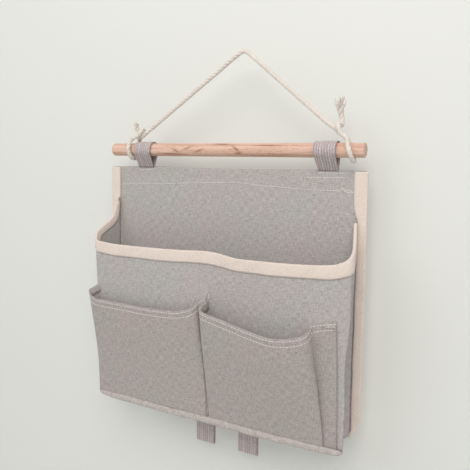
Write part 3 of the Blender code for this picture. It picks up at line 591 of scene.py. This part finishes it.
for name, node, middle, lean in (("left_rod_strap", "top_loop_left", -89.5, -4.0),
                                 ("right_rod_strap", "top_loop_right", 104.0, 0.0)):
    radius, foot_y, foot_z = 7.45, PANEL_Y, -17.7
    towards = math.atan2(foot_y, -foot_z)
    open_angle = math.acos(radius / math.hypot(foot_y, foot_z))
    arc = np.linspace(towards + open_angle, towards + 2 * math.pi - open_angle, 44)
    round_part = np.stack([radius * np.sin(arc), -radius * np.cos(arc)], axis=1)
    tip_back, tip_front = np.array((foot_y + 0.65, foot_z)), np.array((foot_y - 0.65, foot_z))
    leg = np.linspace(0, 1, 8)[:, None]
    path = np.vstack([mix(tip_back, round_part[0], leg[:-1]), round_part,
                      mix(round_part[-1], tip_front, leg[1:])])
    below = np.clip(-path[:, 1] / -foot_z, 0, 1)[:, None]
    normal = across_path(path)
    normal *= np.sign((normal * path).sum(1, keepdims=True))
    columns = np.linspace(-1, 1, 25)
    x = middle + below * lean + columns * (10.0 - 0.9 * below)
    rib = 0.14 * np.cos(columns * 10 * 2 * math.pi / RIB_APART)
    strap, stitches = ribbed_strap(name, "bag", x, path, normal, rib)
    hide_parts(node)

# Deep pocket. One band of canvas makes the front and both side walls, which fold inwards behind the
# front corners. It is sewn into the side tapes, and to the bottom along its lower edge.
FRONT_Y, MOUTH_DROP = -28.6, 96.5


def flow(pairs, place):
    """A smooth value between given (place, value) pairs, which never overshoots them."""
    x, y = np.array(pairs, float).T
    h = np.diff(x)
    d = np.diff(y) / h
    m = np.zeros(len(x))
    same = d[:-1] * d[1:] > 0
    m[1:-1][same] = 2 * (d[:-1] * d[1:])[same] / (d[:-1] + d[1:])[same]
    m[0], m[-1] = d[0], d[-1]
    place = np.clip(place, x[0], x[-1])
    k = np.clip(np.searchsorted(x, place) - 1, 0, len(h) - 1)
    t = (place - x[k]) / h[k]
    return (y[k] * (1 + 2 * t) * (1 - t) ** 2 + m[k] * h[k] * t * (1 - t) ** 2
            + y[k + 1] * t**2 * (3 - 2 * t) + m[k + 1] * h[k] * t**2 * (t - 1))


MOUTH_EDGE = ((0.0, -0.9), (0.015, -0.2), (0.13, 0.3), (0.25, 0.28), (0.38, 0.1), (0.49, -0.25), (0.53, -0.1),
              (0.62, 0.8), (0.73, 0.78), (0.84, 0.55), (0.935, 0.0), (0.975, -0.8), (1.0, -1.9))
SWOOPS = {-1: (50.0, ((0.08, 0.10), (0.14, 0.29), (0.22, 0.45), (0.40, 0.60), (0.65, 0.72), (0.88, 0.84))),
          1: (58.0, ((0.08, 0.14), (0.14, 0.33), (0.24, 0.54), (0.42, 0.70), (0.65, 0.83), (0.88, 0.93)))}
TUCK = ((0.0, 0.0), (0.12, 0.05), (0.28, 0.45), (0.48, 1.0), (0.75, 0.9), (1.0, 0.45))
PLEAT = ((0.0, 0.0), (0.12, 0.35), (0.27, 0.8), (0.45, 1.0), (0.65, 0.7), (0.85, 0.2), (1.0, 0.0))


def front_half(drop):
    return mix(277.0, 270.0, np.clip((drop - MOUTH_DROP) / 160.7, 0, 1)) / 2


def waist(side, drop):
    """How far the side wall's pleat draws a front corner in at a drop, more on the left than the right."""
    if side > 0:
        shares = ((96, 0.0), (142, 0.02), (158, 0.3), (182, 1.0), (198, 0.8), (218, 0.05), (257, 0.0))
        return 1.8 * flow(shares, drop)
    return 3.6 * flow(((96, 0.0), (120, 0.02), (150, 0.4), (182, 0.85), (215, 1.0), (257, 0.6)), drop)


def wall(side, depth, drop):
    """A point of a side wall, from the panel (depth 0) to the front corner (depth 1)."""
    further_out = (SEAM_TAKES[side] - SEAM_TAKES[-1]) * np.clip((drop - 50) / 12, 0, 1)
    back_x = panel_side(drop) - TAPE_LEG + 0.4 + further_out
    front_x = front_half(drop) + side * 1.0 - 0.3 - waist(side, drop)
    tuck = 13.0 * flow(TUCK, np.maximum((drop - MOUTH_DROP) / 161.6, 0)) * flow(PLEAT, depth)
    return np.array((side * (mix(back_x, front_x, depth) - tuck), mix(3.1, FRONT_Y, depth), -drop))


def pocket_band():
    """The band's points in mm: rows from its mouth down, columns from the left back seam to the right."""
    depths = np.linspace(0, 1, 26)
    shares = np.unique(np.r_[np.linspace(0, 0.03, 8), np.linspace(0.03, 0.97, 140), np.linspace(0.97, 1, 8)])
    stations = [(-1, d) for d in depths] + [(0, s) for s in shares[1:-1]] + [(1, d) for d in depths[::-1]]
    down = np.linspace(0, 1, 84) ** 1.15
    grid = np.zeros((len(down), len(stations), 3))
    for j, (side, place) in enumerate(stations):
        if side:
            start, falls = SWOOPS[side]
            corner = MOUTH_DROP + 4.0 * MOUTH_EDGE[0 if side < 0 else -1][1]
            top = flow([(0.0, start), *((d, mix(start, corner, f)) for d, f in falls), (1.0, corner)], place)
            base = mix(258.3, 257.4, place)
        else:
            top, base = MOUTH_DROP + 4.0 * flow(MOUTH_EDGE, place), 257.4
        for i, share in enumerate(down):
            drop = mix(top, base, share)
            if side:
                grid[i, j] = wall(side, place, drop)
            else:
                half = front_half(drop)
                x = 1.0 + mix(-half, half, place)
                x -= waist(1, drop) * max(place - 0.93, 0) / 0.07
                x += waist(-1, drop) * max(0.07 - place, 0) / 0.07
                calm = math.exp(-max(drop - 130, 0) / 14)
                ripple = 0.8 * calm * math.sin(x / 26 + 0.4) * math.sin(math.pi * share) ** 0.5
                pucker = 0.16 * math.sin(x / 2.1) * math.exp(-((drop - top - 12) / 3.5) ** 2)
                grid[i, j] = (x, FRONT_Y + ripple + pucker, -drop)
    # The front corners are soft: widest round at the mouth, where the tape stiffens them, and tighter below.
    for corner, wide, tight in ((len(depths) - 1, 13, 5), (len(stations) - len(depths), 60, 1)):
        for i, share in enumerate(down):
            for _ in range(int(mix(wide, tight, min(share * 4, 1) ** 0.6))):
                row = grid[i, corner - 16:corner + 17, :2]
                row[1:-1] = 0.5 * row[1:-1] + 0.25 * (row[:-2] + row[2:])
    return grid


band = pocket_band()
deep_pocket = surface("deep_pocket_canvas", [world(band)], linen_canvas, "bag", thickness=CLOTH)
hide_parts("front_panel", "left_gusset", "right_gusset")

# Pocket bottom. A strip of the same canvas between the front's seam and the back panel, sagging a
# little. It is seen from below and from the side.
bottom_rows = []
for share in np.linspace(0, 1, 18):
    left_end, right_end = (wall(side, 1 - share, 258.0)[0] + side * 0.2 for side in (-1, 1))
    x = np.linspace(left_end, right_end, 110)
    sag = 0.8 * math.sin(math.pi * share) * np.clip((138 - np.abs(x)) / 12, 0, 1) + 0.15 * np.sin(x / 9)
    bottom_rows.append(np.stack([x, np.full(len(x), mix(-28.2, 4.4, share)), -(258.5 + sag)], axis=1))
pocket_bottom = surface("pocket_bottom_canvas", [world(bottom_rows)], linen_canvas, "bag", thickness=CLOTH)
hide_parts("bottom_panel")

# Mouth binding. The same cream tape, folded over the pocket's top edge from one side seam, round the
# front, to the other, with one row of stitches near its lower edge.
first, last = 2, band.shape[1] - 3
band_run = np.r_[0, np.cumsum(np.linalg.norm(np.diff(band[0, :, :2], axis=0), axis=1))]
edge_run, edge_z = band_run[first:last + 1], band[0, first:last + 1, 2]
slope = unit(np.stack([np.gradient(edge_run), np.gradient(edge_z)], axis=1))


def around_mouth(station, distance):
    """A point of the band so far in from its mouth, measured square to the mouth, and the way out there."""
    run = np.clip(edge_run[station] + slope[station, 1] * distance, band_run[0] + 1.2, band_run[-1] - 1.2)
    z = edge_z[station] - slope[station, 0] * distance
    spots = []
    for at in (run - 0.6, run, run + 0.6):
        place = np.interp(at, band_run, np.arange(len(band_run)))
        column = min(int(place), len(band_run) - 2)
        pair = [[np.interp(-z, -band[:, c, 2], band[:, c, k]) for k in (0, 1)] for c in (column, column + 1)]
        spots.append(mix(np.array(pair[0]), np.array(pair[1]), place - column))
    along = spots[2] - spots[0]
    return np.array((*spots[1], z)), unit(np.array((along[1], -along[0], 0.0)))


on_wall = np.clip(np.abs(edge_run - edge_run.mean()) - 127, 0, 9) / 9
to_panel = np.minimum(edge_run - band_run[0], band_run[-1] - edge_run)
legs = ease_width(np.minimum(TAPE_LEG, to_panel + 1.5))
back_legs = np.clip(legs * (1 - 0.42 * on_wall), 0, to_panel + 1.5)
tape_grid = world(folded_tape(around_mouth, legs, back_legs))
mouth_tape = surface("mouth_tape", [tape_grid], cotton_tape, "bag", thickness=TAPE)
rows = [tape_seam(around_mouth, legs), tape_seam(around_mouth, back_legs, -1)]
mouth_stitches = seam("mouth_tape_stitching", rows, thread, "bag", thick=0.26)
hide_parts("mouth_binding")

# Front pockets. Two low pockets of the same canvas, drawn darker as painted shade, and sewn side by side to
# the front. Each mouth is hemmed with two rows of light thread and stands open, with loose pleats beside the
# middle seam.
POCKET_BASE = 256.9
pocket_canvas = canvas("pocket_canvas_painted_shade", "#9B9592", "#BAB4B1")  # the same canvas, darkened as painted shade
# Each row says where the mouth and the base lie along the pocket's reach, how far the mouth stands out,
# and how much it sags, all as shares of the sizes that follow the tables.
LEFT_SHARES = (
    (0.945, 0.955, -0.40, 0.08), (0.962, 0.960, -0.10, 0.13), (0.986, 0.966, 0.18, 0.26),
    (1.012, 0.971, 0.46, 0.42), (1.022, 0.973, 0.57, 0.485), (1.010, 0.971, 0.70, 0.54),
    (0.985, 0.967, 0.95, 0.70), (0.938, 0.928, 1.00, 0.88), (0.812, 0.800, 0.98, 0.93),
    (0.676, 0.660, 0.95, 0.95), (0.502, 0.493, 0.93, 0.99), (0.335, 0.326, 0.91, 0.97),
    (0.212, 0.200, 0.89, 0.89),
    (0.127, 0.100, 0.86, 0.70), (0.082, 0.030, 0.80, 0.51), (0.064, 0.004, 0.52, 0.37),
    (0.062, -0.006, 0.16, 0.25), (0.039, -0.014, -0.06, 0.10), (0.005, -0.018, -0.08, 0.00),
)
RIGHT_SHARES = (
    (0.005, 0.046, 0.00, 0.00), (0.003, 0.040, 0.22, 0.08), (0.000, 0.034, 0.50, 0.17),
    (0.006, 0.034, 0.75, 0.25), (0.036, 0.050, 0.97, 0.31), (0.084, 0.090, 1.00, 0.38),
    (0.206, 0.206, 1.00, 0.55), (0.328, 0.350, 1.00, 0.73), (0.447, 0.480, 1.00, 0.89),
    (0.555, 0.603, 0.98, 1.00), (0.659, 0.725, 0.91, 0.95), (0.725, 0.810, 0.83, 0.85),
    (0.768, 0.872, 0.70, 0.77), (0.793, 0.906, 0.48, 0.64), (0.800, 0.908, 0.24, 0.50),
    (0.802, 0.868, 0.04, 0.38), (0.850, 0.904, 0.00, 0.28), (0.910, 0.955, 0.00, 0.18),
    (0.971, 0.999, 0.00, 0.10),
)
for name, node, side, reach, depth, sag, hem_drop, closing, shares, flat in (
    ("left_pocket_canvas", "left_pocket", -1, 138.0, 8.8, 17.2, 138.9, 2.6, LEFT_SHARES, (0.150, 0.118)),
    ("right_pocket_canvas", "right_pocket", 1, 131.0, 18.0, 20.4, 141.2, 1.15, RIGHT_SHARES, (0.160, 0.118)),
):
    table = np.array(shares) * (side * reach, side * reach, depth, sag)
    stations = smooth_through(np.c_[table[:, 0], table[:, 2], table[:, 3]], 1.0)
    mouth_x, stand, fall_z = stations.T
    source = np.r_[0, np.cumsum(np.linalg.norm(np.diff(table[:, [0, 2, 3]], axis=0), axis=1))]
    place = np.linspace(0, source[-1], len(stations))
    base_x = np.interp(place, source, table[:, 1])
    rows = []
    for fall in np.linspace(0, 1, 60):
        x = mix(base_x, mouth_x, (1 - fall) ** (1 + 0.3 * closing))
        drops = mix(hem_drop + fall_z, POCKET_BASE, fall)
        if side < 0:
            at_end = np.clip((-x - 118) / 18, 0, 1)
            x = x + at_end * (waist(-1, drops) - waist(-1, hem_drop + fall_z) * (1 - fall))
        belly = 1.3 * np.clip(stand / depth, 0, 1) * math.sin(math.pi * fall) * (1 - fall) ** 0.4
        crumple = 0.25 * np.sin(x / 8.5 + fall * 5) * math.sin(math.pi * fall)
        lap = 1.7 * np.clip(stand / depth / 0.3, 0, 1) * min(1, fall * 4)
        y = FRONT_Y - 1.35 - stand * (1 - fall) ** closing - belly - lap - np.abs(crumple)
        rows.append(np.stack([x, y, -drops], axis=1))
    face = np.array(rows)
    run = np.cumsum(np.linalg.norm(np.diff(face, axis=0, prepend=face[:1]), axis=2), axis=0)
    ways = unit(np.cross(np.gradient(face, axis=0), np.gradient(face, axis=1)))
    ways *= np.sign(-ways[:, :, 1].mean())
    columns = np.arange(face.shape[1])

    def down_face(distance, grid):
        return np.array([[np.interp(distance, run[:, c], grid[:, c, k]) for k in range(3)] for c in columns])

    hem = [down_face(d, face) - down_face(d, ways) * 0.95 for d in (7.6, 5.0, 2.4, 0.7)]
    fold = down_face(0.0, face) - down_face(0.0, ways) * 0.48 + (0, 0, 0.4)
    pocket = surface(name, [world(np.array([*hem, fold, *face]))], pocket_canvas, "bag", thickness=CLOTH)
    lines = [(down_face(d, face) + down_face(d, ways) * 0.45, down_face(d, ways)) for d in (1.5, 6.3)]
    stitches = seam(name + "_stitching", lines, thread, "bag", thick=0.36)
    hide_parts(node)

# Back-tacks. The machine ran to and fro at the top of the middle seam and at the right pocket's end,
# and the middle seam has its thread ends left standing.
tacks = []
for points in (((-1.5, -31.2, -139), (0.5, -31.4, -134.5), (2.5, -31.2, -131)),
               ((2.0, -31.0, -141), (3.5, -31.6, -137), (3.0, -31.2, -132)),
               ((118, -31.0, -149.0), (122, -31.0, -146.6), (127.5, -31.0, -146.8)),
               ((119, -31.2, -147.8), (124, -31.2, -147.9), (128.2, -31.0, -145.4))):
    tacks.append(facing_front(smooth_through(points, 0.8)))
seam("pocket_back_tacks", tacks, thread, "bag", pitch=2.6, thick=0.42)

# The right pocket's outer side is closed with a row in grey thread, pulled tight into the cloth.
grey_thread = sewing_thread("grey_sewing_thread", "#857C7B", "#9A9190", 0.7)
side_row = np.linspace((126.8, FRONT_Y - 1.75, -145.0), (130.3, FRONT_Y - 1.75, -256.0), 90)
seam("right_pocket_side_stitching", [facing_front(side_row)], grey_thread, "bag", pitch=3.4, thick=0.26)

# Bottom seam. The raw edges of front, pockets and bottom are wrapped in a strip of the canvas, which
# makes a soft roll along the lower front edge and thins out at its two ends.
bias_canvas = canvas("bias_cut_canvas", "#A8A09D", "#CEC8C4")
share = np.linspace(0, 1, 220)
from_end = np.minimum(share, 1 - share)
pinch = np.clip(from_end / 0.012, 0.02, 1) ** 0.5
height = 6.0 * flow(((0.0, 0.5), (0.03, 0.74), (0.08, 0.92), (0.16, 1.0), (0.5, 1.0)), from_end)
x = mix(-132.4, 136.2, share)
roll_rows = []
for angle in np.radians(np.linspace(118, 462, 30)):
    forward, rise = math.cos(angle + math.pi), math.sin(angle)
    squash = (abs(forward) ** 2.6 + abs(rise) ** 2.6) ** (-1 / 2.6)
    crease = 1 + 0.05 * np.sin(x / 2.3 + 1.6 * angle) * np.sin(x / 19) + 0.04 * np.sin(x / 6.1 - angle)
    y = -31.2 + squash * forward * crease * (1.0 + height * 0.26) * pinch + 0.25 * np.sin(x / 13)
    z = -(256.3 + height * 0.52) + squash * rise * crease * height * 0.5 * pinch + 0.3 * np.sin(x / 17 + 1)
    roll_rows.append(np.stack([x, y, z], axis=1))
roll_grid = world(np.array(roll_rows).transpose(1, 0, 2))
seam_roll = surface("bottom_seam_roll", [roll_grid], bias_canvas, "bag", thickness=0.0008)
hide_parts("bottom_seam_binding")

# Small loops. Two folded straps sewn into the back bottom seam, with the same two rows of thread as the
# rod straps. Each hangs free and swings about the seam.
for name, node, body, middle in (("left_small_strap", "bottom_loop_left", "small_loop_left", -21.0),
                                 ("right_small_strap", "bottom_loop_right", "small_loop_right", 28.7)):
    top, low, half = -261.6, -303.4, 1.32
    fold = np.linspace(0, math.pi, 11)
    front = [(PANEL_Y - mix(0.6, half, min(t * 3, 1)), mix(top, low, t)) for t in np.linspace(0, 1, 20)]
    turn_round = [(PANEL_Y - half * math.cos(f), low - half * math.sin(f)) for f in fold[1:-1]]
    path = np.array([*front, *turn_round, *[(2 * PANEL_Y - y, z) for y, z in reversed(front)]])
    normal = across_path(path)
    normal *= np.sign(((path - (PANEL_Y, -283)) * normal * (1, 0.05)).sum(1, keepdims=True))
    columns = np.linspace(-10.4, 10.4, 25)
    x = np.broadcast_to(middle + columns, (len(path), len(columns)))
    rib = 0.14 * np.cos(columns * 2 * math.pi / RIB_APART)
    strap, stitches = ribbed_strap(name, body, x, path, normal, rib)
    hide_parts(node)

# Studio. A pale matt backdrop close behind the organizer, which shows only from in front, and a pale floor
# well below. One soft lamp stands above on the right, a weaker one on the left, and one behind.


def seen_directly(tree):
    """1 for rays from the camera and for those that gloss or glass sends on, 0 for light's own rays."""
    path = add(tree, "ShaderNodeLightPath").outputs
    larger = {"operation": "MAXIMUM"}
    either = add(tree, "ShaderNodeMath", larger, {0: path["Is Camera Ray"], 1: path["Is Glossy Ray"]})
    every = add(tree, "ShaderNodeMath", larger, {0: either.outputs[0], 1: path["Is Transmission Ray"]})
    return every.outputs[0]


def stage_plane(name, corners, code, front_only):
    mesh = bpy.data.meshes.new(name)
    mesh.from_pydata(corners, [], [(0, 1, 2, 3)])
    finish, tree, shader = new_finish(name + "_paint", 0.9)
    shader.inputs["Base Color"].default_value = linear(code)
    seen = seen_directly(tree)
    if front_only:
        behind = add(tree, "ShaderNodeNewGeometry").outputs["Backfacing"]
        shows = add(tree, "ShaderNodeMath", {"operation": "SUBTRACT", "use_clamp": True},
                    {0: seen, 1: behind})
        clear = add(tree, "ShaderNodeBsdfTransparent")
        both = add(tree, "ShaderNodeMixShader", {},
                   {0: shows.outputs[0], 1: clear.outputs[0], 2: shader.outputs[0]})
        tree.links.new(both.outputs[0], tree.nodes["Material Output"].inputs["Surface"])
    else:
        glow = add(tree, "ShaderNodeMath", {"operation": "MULTIPLY", 1: 0.36}, {0: seen})
        shader.inputs["Emission Color"].default_value = linear(code)
        tree.links.new(glow.outputs[0], shader.inputs["Emission Strength"])
    mesh.materials.append(finish)
    plane = bpy.data.objects.new(name, mesh)
    bpy.context.scene.collection.objects.link(plane)


BACK_Y, FLOOR_Z = 0.034, -0.9
stage_plane("backdrop", [(-3, BACK_Y, FLOOR_Z), (3, BACK_Y, FLOOR_Z), (3, BACK_Y, 2), (-3, BACK_Y, 2)],
            "#E5E7E1", True)
stage_plane("floor", [(-3, -3, FLOOR_Z), (3, -3, FLOOR_Z), (3, 3, FLOOR_Z), (-3, 3, FLOOR_Z)],
            "#E2E3DF", False)
room = bpy.data.worlds.new("room")
room.use_nodes = True
sky = room.node_tree.nodes["Background"]
sky.inputs["Color"].default_value, sky.inputs["Strength"].default_value = linear("#FBFAFC"), 0.52
pale = add(room.node_tree, "ShaderNodeBackground", {"Color": linear("#E3E5E0"), "Strength": 1.0})
both = add(room.node_tree, "ShaderNodeMixShader", {},
           {0: seen_directly(room.node_tree), 1: sky.outputs[0], 2: pale.outputs[0]})
room.node_tree.links.new(both.outputs[0], room.node_tree.nodes["World Output"].inputs["Surface"])
bpy.context.scene.world = room
for name, place, size, power, colour in (("front_lamp", (0.42, -1.0, 0.75), 0.9, 10.6, "#FFFBF8"),
                                         ("left_lamp", (-1.1, -1.5, 0.9), 1.5, 9.0, "#FBFDFF"),
                                         ("back_lamp", (-0.4, 1.6, 0.5), 1.6, 11.0, "#FFFFFF")):
    lamp = bpy.data.objects.new(name, bpy.data.lights.new(name, "AREA"))
    lamp.data.size, lamp.data.energy = size, power
    lamp.data.color = linear(colour)[:3]
    lamp.location = place
    lamp.rotation_euler = (Vector((0, 0, -0.2)) - Vector(place)).to_track_quat("-Z", "Y").to_euler()
    bpy.context.scene.collection.objects.link(lamp)
bpy.context.scene.view_settings.view_transform = "Standard"
